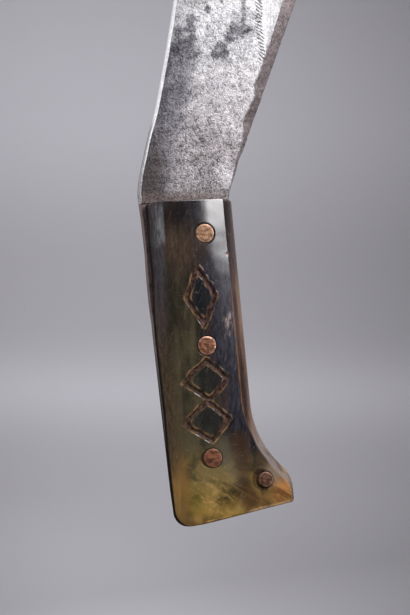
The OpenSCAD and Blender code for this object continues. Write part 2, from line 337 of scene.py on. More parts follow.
def rivet_seat(x, z, carved=True):
    """Depth of the rivets' seats: a narrow gap round each head, and a worn hollow left of the beak's."""
    depth = 0 * x
    for name, (cx, cz) in RIVETS.items():
        worn = name == "beak_rivet" and carved
        r = np.hypot(x - cx, z - cz) + 0.12 * waves(x, z, 4, 21) + 0.75 * worn
        depth = np.maximum(depth, 0.4 * (1 - smooth(r, 3.8, 4.15)))
        if worn:
            depth = np.maximum(depth, 0.8 * (1 - smooth(beak_hollow(x, z), 2.4, 3.9)))
    return depth


def beak_hollow(x, z):
    """Distance from the middle of the worn hollow left of the beak's rivet."""
    cx, cz = RIVETS["beak_rivet"]
    return np.hypot(x - cx + 1.2, z - cz - 0.3) + 0.3 * waves(x, z, 5, 22)


def rivet_ring(x, z):
    """1 on and close round the rivets' seats, where the horn has no polish left."""
    far = [np.hypot(x - cx, z - cz) + 0.75 * (name == "beak_rivet") for name, (cx, cz) in RIVETS.items()]
    return 1 - smooth(np.min([*far, beak_hollow(x, z) - 0.2], axis=0), 4.2, 4.9)


def crown(x, z):
    """Slight barrel of the face, highest along a line that wanders sideways."""
    wander = 2.1 * smooth(z, 2, 24) * (1 - smooth(z, 30, 48))
    middle = BACK_X + 19.0 + 0.012 * z + wander - 0.4 * smooth(z, 48, 62)
    return -0.85 * np.clip(abs(x - middle) / 13.5, 0, 1.1) ** 2


def front_relief(x, z):
    """Height of the front scale's face: crown, carving, seats, a chip and unevenness."""
    uneven = 0.02 * waves(x, z, 30, 11) + 0.005 * waves(x, z, 8, 12)
    carving = 1.15 * groove_share(x, z) - 0.1 * burr_share(x, z)
    chip = 0.25 * np.exp(-(((x - CHIP[0]) / 0.7) ** 2 + ((z - CHIP[1]) / 0.5) ** 2))
    return crown(x, z) + uneven - carving - rivet_seat(x, z) - chip - 0.06


def back_relief(x, z):
    """Height of the back scale's face, which has no carving."""
    uneven = 0.03 * waves(x, z, 30, 15) + 0.015 * waves(x, z, 8, 16)
    return 0.5 * crown(x, z) + uneven - rivet_seat(x, z, carved=False) - 0.05


def scale_levels():
    """Rings of a scale: the widths drawn in, from the butt round to the back, and the height.

    The back is a wall under a broad rounding, butt and front end have a small quarter round, and the
    three sides between them a flat chamfer.
    """
    wall, slope, span = 3.4, radians(38), 7.6
    levels = []
    upper = SIDE_H + (SCALE_T - SIDE_H) * np.sin(np.linspace(0, pi / 2, 22))
    for h in (0, 0.35, 0.9, 1.6, 2.4, *upper):
        fall = np.clip((SCALE_T - h) / (SCALE_T - wall), 0, 1)
        back = span * (1 - np.cos(np.arcsin(1 - fall * (1 - sin(slope)))) / cos(slope))
        corner = np.clip(1 - (SCALE_T - h) / 0.9, 0, 1)
        small = 1 - np.sqrt(1 - corner**2)
        flat = np.clip((h - SIDE_H) / (SCALE_T - SIDE_H), 0, 1)
        foot = 0.35 * (1 - smooth(h, 0, 0.8))
        widths = [0.8 * small, 2.3 * flat, 4.2 * flat, 4.8 * flat, 0.3 * small, back + foot]
        levels.append((np.array(widths), h))
    return levels


def back_ease(z, side):
    """How far a scale's hand-cut back edge lies inwards of its straight line, up the grip."""
    if side > 0:
        return 0.75 * smooth(z, 22, 50) - 0.35 * smooth(z, -66, -50) * (1 - smooth(z, 12, 22))
    ease = 1.75 * smooth(z, 8, 40) + 0.5 * smooth(z, 46, 58) + 0.5 * smooth(z, -40, -20) - 1.9
    return ease + 0.7 * (1 - smooth(z, -69, -60))


def make_scale(node, finish, relief, side):
    """One horn scale on the -Y side, or mirrored to the +Y side where side is 1."""
    corners = grip_corners(TANG_SHOW)
    points, faces, seat, near, inset = plate(corners, scale_levels(), rows=480, cols=136, relief=relief)
    x, z, h = points.T
    ease = back_ease(z, side)
    place = np.column_stack([x + ease * (1 - smooth(x, -12, -3)), side * (TANG_HALF + h), z])
    edge = from_line(points[:, :2], outline(corners, np.zeros(6)))
    marks = {"inset": inset, "height": h, "edge": edge}
    if side < 0:
        marks["groove"] = groove_share(x, z) * near
        marks["island"] = np.clip(-0.6 - lozenge_distance(x, z), 0, 1) * near
        marks["burr"] = burr_share(x, z) * near
        marks["hollow"] = rivet_ring(x, z) * near
    faces = list(faces[:, ::-side]) + [seat[::side]]
    put_piece(node + "_horn", place, faces, marks, finish, node)


# ---- blade and tang


def curve(p, t):
    """Points of a cubic Bezier curve, with the direction along it."""
    t = t[:, None]
    at = (1 - t) ** 3 * p[0] + 3 * (1 - t) ** 2 * t * p[1] + 3 * (1 - t) * t * t * p[2] + t**3 * p[3]
    along = (1 - t) ** 2 * (p[1] - p[0]) + 2 * (1 - t) * t * (p[2] - p[1]) + t * t * (p[3] - p[2])
    return at, unit(along)


KINK = np.array([BACK_X, FRONT_Z + KINK_H])
ROOT_BACK = np.array([BACK_X - 0.16, FRONT_Z + OVERHANG])
ROOT_EDGE = np.array([BACK_X + FRONT_W - OVERHANG, FRONT_Z + OVERHANG - FRONT_DROP])
HEEL = np.array([BACK_X + FRONT_W + HEEL_STEP, FRONT_Z - FRONT_DROP + HEEL_H])
POINT = KINK + BLADE_LEN * lean(BLADE_LEAN)
SPINE = [
    KINK,
    KINK + 0.16 * BLADE_LEN * lean(SPINE_ROOT_LEAN),
    POINT - 0.4 * BLADE_LEN * lean(SPINE_POINT_LEAN),
    POINT,
]
SHARES = np.linspace(0, 1, 4001)
FROM_KINK = length(curve(SPINE, SHARES)[0] - KINK)
BELLY_SHARE = np.interp(BELLY_LEN, FROM_KINK, SHARES)
BELLY_AT, BELLY_ALONG = curve(SPINE, np.array([BELLY_SHARE]))
BELLY = (BELLY_AT - BELLY_W * left_of(BELLY_ALONG))[0]
EDGE_TIP = POINT - POINT_W * left_of(lean(SPINE_POINT_LEAN))
REST_LEN = BLADE_LEN - BELLY_LEN
LOWER = [
    HEEL,
    HEEL + 0.135 * BELLY_LEN * lean(HEEL_LEAN),
    BELLY - 0.315 * BELLY_LEN * lean(BLADE_LEAN),
    BELLY,
]
UPPER = [
    BELLY,
    BELLY + 0.42 * REST_LEN * lean(BLADE_LEAN),
    EDGE_TIP + 0.39 * REST_LEN * lean(POINT_TURN),
    EDGE_TIP,
]


def half_thickness(p):
    """Half the thickness of the flats, which thins evenly from the kink to the point."""
    far = np.maximum(0, (p - KINK) @ lean(BLADE_LEAN))
    return mix(BLADE_HALF, POINT_HALF, far / BLADE_LEN)


# Width of the worn bevel at heights above the heel
WORN_BEVEL = np.array([
    (0, 0.3), (4, 0.35), (8, 0.7), (12, 0.8), (16, 1.1), (20, 1.5), (24, 2.5), (27.3, 4.2), (29.6, 4.3),
    (32.3, 3.6), (35.2, 3.3), (37.6, 2.8), (39.6, 3.6), (42.4, 5.0), (46.5, 4.4), (56, 4.6), (66, 5.0),
    (77, 5.2),
])
# Dents in the edge: height above the heel, depth and half length
DENTS = (
    (12, 0.5, 4.0), (39, 0.2, 1.5), (22.5, 0.25, 1.2), (61, 0.25, 1.0), (118, 0.3, 1.2), (171, 0.35, 1.6),
)


def blade_stations():
    """Points on the spine and on the edge of every cross section, and the edge's direction there."""
    low = np.concatenate([np.linspace(0, 0.42, 210), np.linspace(0.42, 1, 110)[1:]])
    high = 1 - np.linspace(1, 0, 120)[1:] ** 1.35
    root = np.linspace(0, 1, 8)[:-1, None]
    spine, _ = curve(SPINE, np.concatenate([low * BELLY_SHARE, mix(BELLY_SHARE, 1, high)]))
    s = np.vstack([mix(ROOT_BACK, KINK, root), spine])
    (e1, d1), (e2, d2) = curve(LOWER, low), curve(UPPER, high)
    e = np.vstack([mix(ROOT_EDGE, HEEL, root), e1, e2])
    return s, e, np.vstack([np.repeat(lean(HEEL_LEAN)[None], len(root), 0), d1, d2])


def spread(count, tight):
    """Shares from 0 to 1, with two extra ones hard against the ends."""
    return np.unique(np.concatenate([np.linspace(0, 1, count), [tight, 1 - tight]]))


def worn_stations():
    """The stations with a dented edge and an uneven spine.

    Also the length along the edge, the height above the heel and the direction from edge to spine.
    """
    s, e, d = blade_stations()
    along = np.concatenate([[0], np.cumsum(length(np.diff(e, axis=0)))])
    run = e[:, 1] - HEEL[1]
    inward = unit(s - e)
    dent = sum(deep * np.exp(-(((run - at) / wide) ** 2)) for at, deep, wide in DENTS)
    rough = 0.07 * line_waves(along, 6, 31) + 0.04 * line_waves(along, 2, 32)
    e = e + inward * ((dent + np.abs(rough)) * smooth(run, 2, 14))[:, None]
    z = s[:, 1]
    swell = 0.95 * smooth(z, 66, 78) * (1 - smooth(z, 92, 103)) - 0.5 * (1 - smooth(z, 65, 73))
    s = s + inward * (swell + (0.05 * line_waves(along, 14, 33) + 0.1) * smooth(run, 0, 10))[:, None]
    return s, e, d, along, run, inward


def section_knots(s, e, d, along, run, inward, root):
    """Knots of the sections from spine to edge, and the shoulder's distance from the edge.

    Chamfer, flat, wide grind and bevel lie between them. root is 0 where the blade leaves the grip.
    """
    w = length(s - e)
    skew = np.maximum(0.5, abs(cross(d, inward)))
    bevel = np.interp(run, *WORN_BEVEL.T) + 0.2 * line_waves(along, 2.2, 34) * smooth(run, 2, 14)
    bevel = np.minimum(np.maximum(bevel, 0.3) / skew, 0.3 * w)
    wide = GRIND_W * (1 - np.exp(-GRIND_SPREAD * np.maximum(0, run - GRIND_START) / GRIND_W))
    wide = (START_W + wide + 0.15 * line_waves(along, 9, 35) * smooth(run, 58, 70)) / skew
    wide = np.minimum(wide, 0.4 * w)
    chamfer = np.minimum(0.43 + 0.08 * line_waves(along, 16, 39), 0.08 * w)
    chamfer = chamfer * root + 0.1 * (1 - root)
    corner = s - inward * (2 * chamfer)[:, None]
    shoulder, land = e + inward * (bevel + wide)[:, None], e + inward * bevel[:, None]
    t_land = half_thickness(land) * (1 - GRIND_DEPTH * wide * skew / (GRIND_W + START_W))
    t_edge = np.minimum(t_land, np.maximum(0.22, t_land - bevel * skew * 0.5))
    knots = [
        (s, half_thickness(s) - chamfer),
        (corner, half_thickness(corner)),
        (shoulder, half_thickness(shoulder)),
        (land, t_land),
        (e, t_edge),
    ]
    return knots, bevel + wide


def blade_points():
    """The blade as a loft: rings of place and thickness, and what each point of a ring belongs to.

    The kinds are 0 spine chamfer, 1 flat, 2 wide grind and 3 bevel. Also the length along the edge, and
    each point's distance from the shoulder and from the spine.
    """
    s, e, d, along, run, inward = worn_stations()
    root = smooth(s[:, 1], FRONT_Z + 0.3, FRONT_Z + 3)
    knots, shoulder_at = section_knots(s, e, d, along, run, inward, root)
    counts = ((5, 0.2), (46, 0.006), (20, 0.02), (11, 0.05))
    rows, kinds = [], []
    for k, (count, tight) in enumerate(counts):
        v = spread(count, tight)[None, :, None]
        (p, tp), (q, tq) = knots[k], knots[k + 1]
        flat = mix(p[:, None], q[:, None], v)
        thick = mix(tp[:, None], tq[:, None], v[..., 0])
        if k == 1:
            thick = thick + 0.26 * np.sin(pi * v[..., 0]) * smooth(run, 0, 30)[:, None]
        if k == 2:
            thick = thick - 0.1 * np.sin(pi * v[..., 0])
        part = np.concatenate([flat, thick[..., None]], -1)
        keep = slice(None) if k == len(counts) - 1 else slice(0, -1)
        rows.append(part[:, keep])
        kinds.append(np.full(part[:, keep].shape[1], k))
    half = np.concatenate(rows, 1)
    kind = np.concatenate(kinds)
    broad = (kind > 0) * (kind < 3)
    mirror = half[:, ::-1].copy()
    x, z = half[..., 0], half[..., 1]
    uneven = 0.05 * waves(x, z, 26, 36) + 0.015 * waves(x, z, 7, 37)
    half[..., 2] += uneven * broad * root[:, None]
    back = 0.05 * waves(mirror[..., 0], mirror[..., 1], 26, 38) * broad[::-1] * root[:, None]
    mirror[..., 2] = -(mirror[..., 2] + back)
    ring = np.concatenate([half, mirror], 1)
    from_shoulder = length(ring[..., :2] - e[:, None]) - shoulder_at[:, None]
    from_spine = length(ring[..., :2] - s[:, None])
    return ring, np.concatenate([kind, kind[::-1]]), along, from_shoulder, from_spine


def tang_levels():
    """Rings of the tang: upright sides with a small worn round at both arrises."""
    turns = np.radians(np.linspace(0, 90, 5))
    worn = 0.35
    low = [(worn * (1 - np.cos(a)), worn * (1 - np.sin(a))) for a in turns[::-1]]
    high = [(worn * (1 - np.cos(a)), TANG_HALF * 2 - worn * (1 - np.sin(a))) for a in turns]
    side = np.array([1, 1, 1, 1, 0, 1])
    return [(OVERHANG * np.array([1, 1, 1, 1, 0, 0]) + side * w, h) for w, h in low + high]


def tang_shift(x, z):
    """The tang's hand-made back: it swells out above the hand, draws in below the kink and wavers."""
    u = np.clip((z - SWELL_FROM) / (KINK[1] - SWELL_FROM), 0, 1)
    bulge = TANG_SWELL * np.sin(pi * u) + 0.06 * line_waves(z, 12, 41) * smooth(z, -60, -50)
    bulge = bulge - 1.43 * smooth(z, 14, 50) + 0.5 * smooth(z, 54, 66) + 0.4 * smooth(z, -60, -40)
    inside = smooth(z - FRONT_Z + FRONT_DROP * (x - BACK_X) / FRONT_W, 0.1, 0.4)
    return (x - bulge * (1 - smooth(x, BACK_X + 1, BACK_X + 8))) * (1 - 0.02 * inside)


def make_blade(finish):
    """Blade and tang as one object: a loft closed at both ends, and a plate."""
    ring, kind, along, from_shoulder, from_spine = blade_points()
    n, m = ring.shape[:2]
    place = np.stack([ring[..., 0], -ring[..., 2], ring[..., 1]], -1).reshape(-1, 3)
    faces = list(quads(n, m, wrap=True)) + [np.arange(m)[::-1], np.arange(m) + (n - 1) * m]
    corners = grip_corners(0)
    corners[4:, 1] += TONGUE_H
    flat, sides, seat, _, _ = plate(corners, tang_levels(), rows=160, cols=12)
    x, z, h = flat.T
    tang = np.column_stack([tang_shift(x, z), TANG_HALF - h, z])
    faces += list(sides + len(place)) + [seat[::-1] + len(place)]
    number = np.arange(m)

    def on_blade(values):
        return np.concatenate([values.astype(float).ravel(), np.zeros(len(x))])

    def on_ring(share):
        return on_blade(np.tile(share, n))

    flow = [on_blade(v) for v in (np.repeat(along, m), from_shoulder, from_spine)]
    marks = {
        "spine": on_ring(kind == 0),
        "back": on_ring(number % (m - 1) == 0),
        "lip": on_ring(abs((number + 3) % m - 3) < 2),
        "ground": on_ring(kind == 2),
        "bevel": on_ring(kind == 3),
        "tang": np.concatenate([np.zeros(n * m), np.ones(len(x))]),
        "flow": np.column_stack(flow),
    }
    put_piece("blade_and_tang", np.vstack([place, tang]), faces, marks, finish, "blade")


# ---- rivets


def make_rivet(node, finish, seed, radius=3.86, sunk=0.0):
    """One rivet turned about Y, with a peened head on each face. The front one lies lower by sunk."""
    cx, cz = RIVETS[node]
    a = np.linspace(0, 2 * pi, 97)[:-1]
    dome = np.linspace(0.02, 0.9, 22)
    r = np.concatenate([np.append(dome, [0.94, 0.97, 0.99, 1, 1]) * radius, [SHANK_R, SHANK_R]])
    h = np.concatenate([0.16 * (1 - dome**2), [0.03, -0.02, -0.1, -0.22, -0.5, -1.75, -8.0]])
    rr, aa = np.meshgrid(r, a, indexing="ij")
    x, z = rr * np.cos(aa), rr * np.sin(aa)
    head = (np.arange(len(r)) < len(dome) + 2)[:, None]
    peen = 0.09 * waves(x, z, 2.6, seed) + 0.04 * waves(x, z, 1.1, seed + 1)
    lip = 1 + 0.02 * waves(3 * np.cos(aa), 3 * np.sin(aa), 4, seed + 2) * (rr > SHANK_R + 0.1)
    x, z = x * lip, z * lip
    rings = []
    for way, low in ((-1, sunk), (1, 0.0)):
        y = FACE - 0.02 - low + h[:, None] + head * peen
        part = np.stack([cx + x, way * y, cz + z], -1)
        rings.append(part if way < 0 else part[::-1])
    point = np.concatenate(rings)
    n, m = point.shape[:2]
    faces = list(quads(n, m, wrap=True)[:, ::-1]) + [np.arange(m), np.arange(m)[::-1] + (n - 1) * m]
    # rim runs to 1 at the head's edge; lit grows towards the upper right, the side the painted highlight
    # favours
    marks = {"rim": rr, "lit": x * 0.8 + z * 0.6}
    marks = {k: np.concatenate([v, v[::-1]]).ravel() / radius for k, v in marks.items()}
    put_piece(node + "_head", point.reshape(-1, 3), faces, marks, finish, node)


# ---- shader tools


def tone(code):
    """Linear colour of an sRGB one written as six hex digits."""
    c = np.array([int(code[i : i + 2], 16) for i in (0, 2, 4)]) / 255
    c = np.where(c < 0.04045, c / 12.92, ((c + 0.055) / 1.055) ** 2.4)
    return (*[float(v) for v in c], 1.0)


def operator(name, swapped=False):
    """A method that adds a Math node, for a number on the left where swapped is set."""

    def method(self, other):
        return self.finish.math_of(name, *((other, self) if swapped else (self, other)))

    return method


class Value:
    """A shader socket in Python arithmetic: each operator adds a Math node."""

    def __init__(self, finish, socket):
        self.finish, self.socket = finish, socket

    __add__, __radd__ = operator("ADD"), operator("ADD", True)
    __sub__, __rsub__ = operator("SUBTRACT"), operator("SUBTRACT", True)
    __mul__, __rmul__ = operator("MULTIPLY"), operator("MULTIPLY", True)
    __truediv__, __pow__ = operator("DIVIDE"), operator("POWER")
    top, low = operator("MAXIMUM"), operator("MINIMUM")

    def __abs__(self):
        return self.finish.math_of("ABSOLUTE", self)

    def clamp(self):
        return self.top(0.0).low(1.0)

    def bell(self):
        """1 where the value is 0, and falling off on both sides."""
        return self.finish.math_of("EXPONENT", 0.0 - self * self)

    def step(self, low, high, start=0.0, end=1.0):
        """Eased change from start to end as the value goes from low to high."""
        values = {"Value": self, "From Min": low, "From Max": high, "To Min": start, "To Max": end}
        return self.finish.node("MapRange", values, interpolation_type="SMOOTHSTEP")

    def fall(self, low, high):
        """Eased change from 1 to 0 as the value goes from low to high."""
        return self.step(low, high, 1.0, 0.0)


class Finish:
    """A procedural material on one Principled shader. A colour is a hex string or a Value."""

    def __init__(self, name, **constants):
        self.material = bpy.data.materials.new(name)
        self.material.use_nodes = True
        self.tree = self.material.node_tree
        self.shader = self.tree.nodes["Principled BSDF"]
        for key, value in constants.items():
            self.input(key).default_value = value
        point = self.node("TexCoord", out="Object")
        self.mm = self.node("VectorMath", {0: point, "Scale": 1000.0}, operation="SCALE")
        self.x, self.y, self.z = self.split(self.mm)
        self.ragged = self.noise(0.25, 5.0, 0.62) - 0.5

    def input(self, key):
        """The shader's input of this name, written with underscores."""
        return self.shader.inputs[key.replace("_", " ").title().replace("Ior", "IOR")]

    def node(self, kind, values=None, out=0, **settings):
        """Adds one node with its sockets' values or links and its settings. Returns one output."""
        node = self.tree.nodes.new("ShaderNode" + kind)
        for key, value in settings.items():
            setattr(node, key, value)
        for key, value in (values or {}).items():
            socket = node.inputs[key]
            if isinstance(value, Value):
                self.tree.links.new(value.socket, socket)
            else:
                socket.default_value = value
        return Value(self, node.outputs[out])

    def math_of(self, operation, *values):
        """Adds one Math node."""
        return self.node("Math", dict(enumerate(values)), operation=operation)

    def split(self, vector):
        """The three parts of a vector."""
        node = self.node("SeparateXYZ", {0: vector}).socket.node
        return [Value(self, node.outputs[i]) for i in range(3)]

    def mark(self, name, out="Fac"):
        """Named value of the mesh, from its attribute."""
        return self.node("Attribute", out=out, attribute_name=name)

    def noise(self, scale, detail, rough, warp=0.0, at=None):
        """Cloudy noise; scale is in waves per millimetre."""
        values = {"Scale": scale, "Detail": detail, "Roughness": rough, "Distortion": warp}
        return self.node("TexNoise", {"Vector": at or self.mm, **values})

    def stretch(self, x=1.0, z=1.0, turn=0.0, at=None):
        """Coordinates turned about Y by some degrees and then stretched along X and Z."""
        values = {"Vector": at or self.mm, "Rotation": (0, radians(turn), 0), "Scale": (1 / x, 1, 1 / z)}
        return self.node("Mapping", values, vector_type="TEXTURE")

    def moved(self, *by):
        """Coordinates moved by some millimetres, for a noise of its own."""
        return self.node("VectorMath", {0: self.mm, 1: by}, operation="ADD")

    def blend(self, share, a, b):
        """Colour a turned to colour b by a share."""
        a, b = [tone(c) if isinstance(c, str) else c for c in (a, b)]
        return self.node("Mix", {0: share, 6: a, 7: b}, out=2, data_type="RGBA", clamp_factor=True)

    def paint(self, base, *layers):
        """Lays layers over a base: a mask, then a colour, or a share and the two colours it blends."""
        for mask, *colour in layers:
            base = self.blend(mask, base, self.blend(*colour) if len(colour) > 1 else colour[0])
        return base

    def spot(self, cx, cz, rx, rz, soft, ragged=1.0, turn=0.0):
        """Soft ellipse on the XZ plane with a ragged border: 1 inside, 0 outside."""
        c, s = cos(radians(turn)), sin(radians(turn))
        dx, dz = self.x - cx, self.z - cz
        u, v = (dx * c - dz * s) / rx, (dx * s + dz * c) / rz
        far = (u * u + v * v) ** 0.5 + self.ragged * ragged
        return far.fall(1 - soft, 1 + soft)

    def stroke(self, x0, z0, x1, z1, half, soft, ragged):
        """Soft line between two places on the XZ plane, with its half width."""
        span = float(np.hypot(x1 - x0, z1 - z0))
        ux, uz = (x1 - x0) / span, (z1 - z0) / span
        dx, dz = self.x - x0, self.z - z0
        t = (dx * ux + dz * uz).top(0.0).low(span)
        ex, ez = dx - t * ux, dz - t * uz
        far = (ex * ex + ez * ez) ** 0.5 + self.ragged * ragged
        return far.fall(half * (1 - soft), half * (1 + soft))

    def bump(self, height, strength=1.0):
        """Bump from a height in millimetres."""
        return self.node("Bump", {"Height": height, "Strength": strength, "Distance": 0.001})

    def wear(self, **links):
        """Feeds the shader's inputs that change over the surface."""
        for key, value in links.items():
            self.tree.links.new(value.socket, self.input(key))
        return self.material


# ---- finishes

# Dark blotches on the blade, each with its place and its half widths along X and Z
BLOTCHES = (
    (31.4, 132.0, 4.2, 3.8), (28.2, 129.5, 3.2, 2.8), (36.0, 132.0, 2.0, 1.8), (21.0, 122.4, 2.0, 2.4),
    (13.2, 138.2, 2.6, 2.6), (11.6, 134.0, 2.6, 3.0), (12.3, 130.6, 2.4, 2.4), (9.2, 128.8, 4.2, 2.8),
    (4.8, 127.6, 4.4, 3.0), (20.2, 141.7, 2.0, 2.0), (6.6, 133.0, 2.2, 4.0), (15.0, 150.0, 2.4, 2.4),
    (11.0, 88.0, 1.6, 1.8),
)


def file_marks(f, along, inward, cloud, grain):
    """Row of slanting ticks along the start of the wide grind."""
    beat = f.math_of("FRACT", (along - inward * (0.1 + cloud * 0.9) + f.ragged * 3.0) / 1.6)
    ticks = (abs(beat - 0.5) + (grain - 0.5) * 0.6).fall(0.08, 0.26)
    return ticks * abs(inward - 1.0 + f.ragged * 2).fall(0.9, 1.9)


def old_steel():
    """Hand-forged steel: patina with stains and fine pits, brown bevel, fresh wide grind, a spine painted
    near white as its highlight, and a stained tang painted near black towards the butt as shade.
    """
    f = Finish("old_steel")
    x, z = f.x, f.z
    spine, ground, bevel, tang, back = [f.mark(k) for k in ("spine", "ground", "bevel", "tang", "back")]
    ground = ground * z.step(106, 120, 0.3)
    flow = f.mark("flow", "Vector")
    along, inward, from_spine = f.split(flow)
    cloud, mottle = f.noise(0.06, 4.0, 0.6), f.noise(0.28, 5.0, 0.7)
    grain, sand = f.noise(0.95, 4.0, 0.75), f.noise(2.6, 2.0, 0.6)
    speckle = (grain * 0.6 + sand * 0.4).step(0.34, 0.64)
    level = (mottle * 0.62 + cloud * 0.38).step(0.3, 0.68)
    low, high = z.step(82, 116, 0.9, 0.0), z.step(110, 124)
    light = (level * 0.6 + 0.14 + (speckle - 0.5) * (0.74 - level * 0.28)).clamp()
    light = (light + (speckle - 0.5) * low * 0.28).clamp()

    # Shade beside the spine, and the wide stains
    across = x - (z - 128.0) * 0.28 - 13.5 + (cloud - 0.5) * 6 + (mottle - 0.5) * 6
    tatter = (f.noise(0.75, 7.0, 0.78, at=f.moved(7, 0, 3)) - 0.5) * 3.0
    shade = across.fall(-3, 3) * (z + tatter * 3).step(126, 131, 1.0, 0.1) * z.step(78, 106, 0.5)
    border = from_spine.step(1.0, 5.0, 0.75, 0.0) * z.fall(124, 131)
    murk = from_spine.fall(0.5, 14) * z.step(84, 124, 1.0, 0.2)
    deep = f.spot(6.0, 125.0, 8.0, 4.0, 0.6, 1.8, 8)
    dull = f.spot(35, 133, 7, 9, 0.9, 1.6).top(f.spot(6, 137, 7, 12, 0.9, 1.6)) * 0.35
    bright = f.spot(25, 100, 6, 14, 0.9, 1.6, -20) * 0.35
    bright = bright.top(f.spot(19.5, 73, 3.6, 5.5, 0.9, 1.6, -14) * 0.8)

    # Small dark marks: blotches, a streak, freckles above the picture and dots all over
    field = f.spot(24.0, 124.2, 3.0, 4.5, 1.0, 1.2, -10)
    for cx, cz, rx, rz in BLOTCHES:
        field = field.top(f.spot(cx, cz, rx, rz, 1.0, 0.8))
    blotches = (field + tatter).step(0.46, 0.82) * 0.9
    freckles = (f.noise(0.1, 6.0, 0.66, at=f.moved(300, 0, 40)) * z.step(150, 175)).step(0.53, 0.64)
    streak = f.stroke(34.6, 134, 36.8, 152, 0.9, 0.8, 0.8)
    dots = f.noise(0.7, 3.0, 0.6, at=f.moved(0, 50, 0)).step(0.6, 0.68)

    # A stain at the spine's root, and a darker speckled band just above the grip's front end
    stain = f.spot(-13.5, 74, 7.5, 14, 0.7, 1.6, 12) * 0.95
    near_grip = (z + x * 0.048 + f.ragged * 5).fall(64.8, 70.5)
    speckled_band = (light + (sand - 0.5) * 0.6).clamp()

    # Wide grind, bevel, spine and tang
    scratches = f.noise(0.8, 3.0, 0.6, at=f.stretch(x=0.12, at=flow))
    fresh = f.blend((scratches * 0.5 + speckle * 0.4).step(0.3, 0.75), "868486", "b2b2b4")
    ticks = file_marks(f, along, inward, cloud, grain) * along.step(58, 64)
    ticks = ticks * (1 - bevel) * (1 - tang) * along.fall(92, 104)
    even = mottle * 0.5 + grain * 0.5
    rust = f.paint(
        f.blend(even.step(0.36, 0.64), "403738", "867a7b"),
        (sand.step(0.52, 0.72) * z.step(90, 120, 0.35, 0.85), "b2a8a8"),
    )
    # Bare steel of the spine's chamfer, painted near white as its highlight line, greyer low down
    bare_steel_highlight = f.paint(
        f.blend(even.step(0.35, 0.62), "cdcbce", "fcfcfd"),
        (z.step(70, 88, 0.9, 0.0), grain.step(0.4, 0.6), "686567", "b6b3b5"),
    )
    brown = f.paint(
        f.blend((mottle * 0.6 + grain * 0.4).step(0.35, 0.65), "3c2d2b", "6a5652"),
        # Painted shade: the tang goes near black towards the butt
        (z.step(-22, 12, 0.95, 0.0), "100d0d"),
    )

    soft_light = light.step(0.1, 0.9)
    dark = f.blend(soft_light, "262429", "76737a")
    colour = f.paint(
        f.blend(light, f.blend(high, "504e51", "5e5c5f"), f.blend(high, "cecbcd", "dedcde")),
        (low, light, "262225", "a8a1a3"),
        (bright, light, "827f82", "d6d2d4"),
        (shade * 0.9, light, "3a393e", "8e8b92"),
        (dull, dark),
        ((deep * 0.5).top(border), dark),
        (murk, soft_light, "181519", "625e64"),
        (blotches.top(freckles * 0.8).top(streak * 0.55), dark),
        (stain, light, "161010", "463c3a"),
        (near_grip * x.step(6, 17, 0.92, 0.5), speckled_band, "181110", "70615d"),
        (dots * 0.6, "383539"),
        (ground, fresh),
        (ticks * 0.85, "363438"),
        (bevel, rust),
        (spine, bare_steel_highlight),
        # Painted shade: a dark line on the spine's outer lip low down
        (f.mark("lip") * z.step(94, 101, 0.7, 0.0), "3c393b"),
        # The spine's back face: painted grey as shade low down and near white as a highlight higher up
        (back.step(0.85, 0.9), z.step(94, 101), "8a888b", "eae9eb"),
        (tang, brown),
    )

    rough = mix(0.46, 0.34, light) + blotches * 0.1
    for value, share in ((0.3, ground), (0.42, bevel), (0.3, spine), (0.6, tang)):
        rough = mix(rough, value, share)
    pits = f.node("TexVoronoi", {"Vector": f.mm, "Scale": 0.9}).step(0.05, 0.4) * 0.05
    height = pits * (1 - ground * 0.9) + speckle * 0.035 * (1 - ground * 0.8)
    height = height + mottle * 0.12 + scratches * ground * 0.02 - blotches * 0.04 - ticks * 0.06
    rusty = (bevel.top(tang) * 0.7).top(near_grip * 0.5).top(stain * 0.5) * mottle.step(0.3, 0.6, 1.0, 0.5)
    metal = (1 - rusty.top(back * 0.9).top(spine * 0.85).top(tang * 0.85)) * 0.6
    return f.wear(base_color=colour, roughness=rough.clamp(), metallic=metal.clamp(), normal=f.bump(height))


